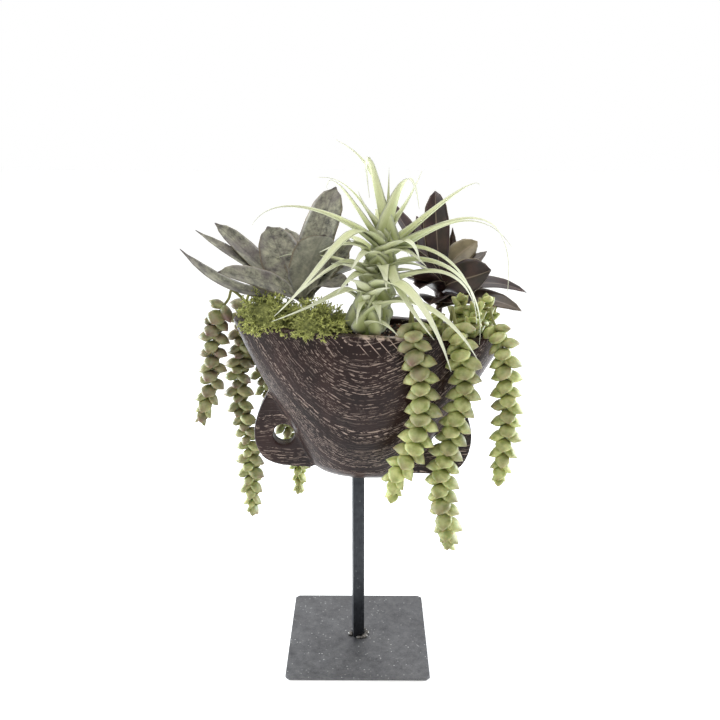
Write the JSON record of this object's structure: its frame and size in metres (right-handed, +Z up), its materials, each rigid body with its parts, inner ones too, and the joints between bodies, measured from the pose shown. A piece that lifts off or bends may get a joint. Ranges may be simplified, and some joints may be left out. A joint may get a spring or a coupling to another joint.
{
  "type": "planter pot",
  "caption": "Carved dark wooden bell with eared lugs used as a planter, on a square steel bar and plate, planted with imitation succulents and trailing strands.",
  "frame": {"origin": "centre of the base plate underside, on the surface the planter stands on", "axes": "+Z up, +X towards the right-hand ear, -Y towards the front"},
  "size_m": [0.337, 0.2331, 0.5382],
  "materials": {
    "plate_steel": "satin",
    "bar_steel": "satin",
    "weld_steel": "satin",
    "fixing_steel": "satin",
    "dark_wood": "satin",
    "foam": "matte",
    "soil": "matte",
    "moss": "matte",
    "air_leaf": "matte",
    "grey_leaf": "matte",
    "burgundy_leaf": "satin",
    "sedum_leaf": "satin",
    "sedum_stem": "matte"
  },
  "bodies": {
    "planter": {"air_plant_base_leaves": "air_leaf", "air_plant_crown_leaves": "air_leaf", "air_plant_lower_leaves": "air_leaf", "air_plant_middle_leaves": "air_leaf", "air_plant_stem": "air_leaf", "air_plant_upper_leaves": "air_leaf", "base_plate": "plate_steel", "burgundy_plant_inner_leaves": "burgundy_leaf", "burgundy_plant_outer_leaves": "burgundy_leaf", "burgundy_plant_stem": "burgundy_leaf", "floral_foam": "foam", "foot_weld": "weld_steel", "grey_plant_inner_leaves": "grey_leaf", "grey_plant_outer_leaves": "grey_leaf", "grey_plant_stem": "grey_leaf", "moss_front": "moss", "moss_left": "moss", "retaining_screw": "fixing_steel", "retaining_washer": "fixing_steel", "soil_dressing": "soil", "sprig_leaves": "sedum_leaf", "sprig_stems": "sedum_stem", "stand_bar": "bar_steel", "strand_back_fixed_stem": "sedum_stem", "strand_front_middle_fixed_stem": "sedum_stem", "strand_front_right_fixed_stem": "sedum_stem", "strand_left_end_fixed_stem": "sedum_stem", "strand_left_rear_fixed_stem": "sedum_stem", "strand_right_end_fixed_stem": "sedum_stem", "wooden_bell": "dark_wood"},
    "strand_back": {"strand_back_hanging_stem": "sedum_stem", "strand_back_leaves": "sedum_leaf"},
    "strand_front_middle": {"strand_front_middle_hanging_stem": "sedum_stem", "strand_front_middle_leaves": "sedum_leaf"},
    "strand_front_right": {"strand_front_right_hanging_stem": "sedum_stem", "strand_front_right_leaves": "sedum_leaf"},
    "strand_left_end": {"strand_left_end_hanging_stem": "sedum_stem", "strand_left_end_leaves": "sedum_leaf"},
    "strand_left_rear": {"strand_left_rear_hanging_stem": "sedum_stem", "strand_left_rear_leaves": "sedum_leaf"},
    "strand_right_end": {"strand_right_end_hanging_stem": "sedum_stem", "strand_right_end_leaves": "sedum_leaf"}
  },
  "joints": [
    {"name": "strand_back_swing", "type": "hinge", "parent": "planter", "child": "strand_back", "pos_m": [-0.092, 0.036, 0.38], "axis": [1, 0, 0], "range_deg": [0, 25]},
    {"name": "strand_front_middle_swing", "type": "hinge", "parent": "planter", "child": "strand_front_middle", "pos_m": [0.051, -0.05, 0.381], "axis": [-1, 0, 0], "range_deg": [0, 25]},
    {"name": "strand_front_right_swing", "type": "hinge", "parent": "planter", "child": "strand_front_right", "pos_m": [0.091, -0.039, 0.377], "axis": [-1, 0, 0], "range_deg": [0, 25]},
    {"name": "strand_left_end_swing", "type": "hinge", "parent": "planter", "child": "strand_left_end", "pos_m": [-0.126, -0.006, 0.387], "axis": [0, 1, 0], "range_deg": [0, 25]},
    {"name": "strand_left_rear_swing", "type": "hinge", "parent": "planter", "child": "strand_left_rear", "pos_m": [-0.112, 0.029, 0.381], "axis": [1, 0, 0], "range_deg": [0, 25]},
    {"name": "strand_right_end_swing", "type": "hinge", "parent": "planter", "child": "strand_right_end", "pos_m": [0.129, -0.023, 0.372], "axis": [-1, 0, 0], "range_deg": [0, 25]}
  ]
}
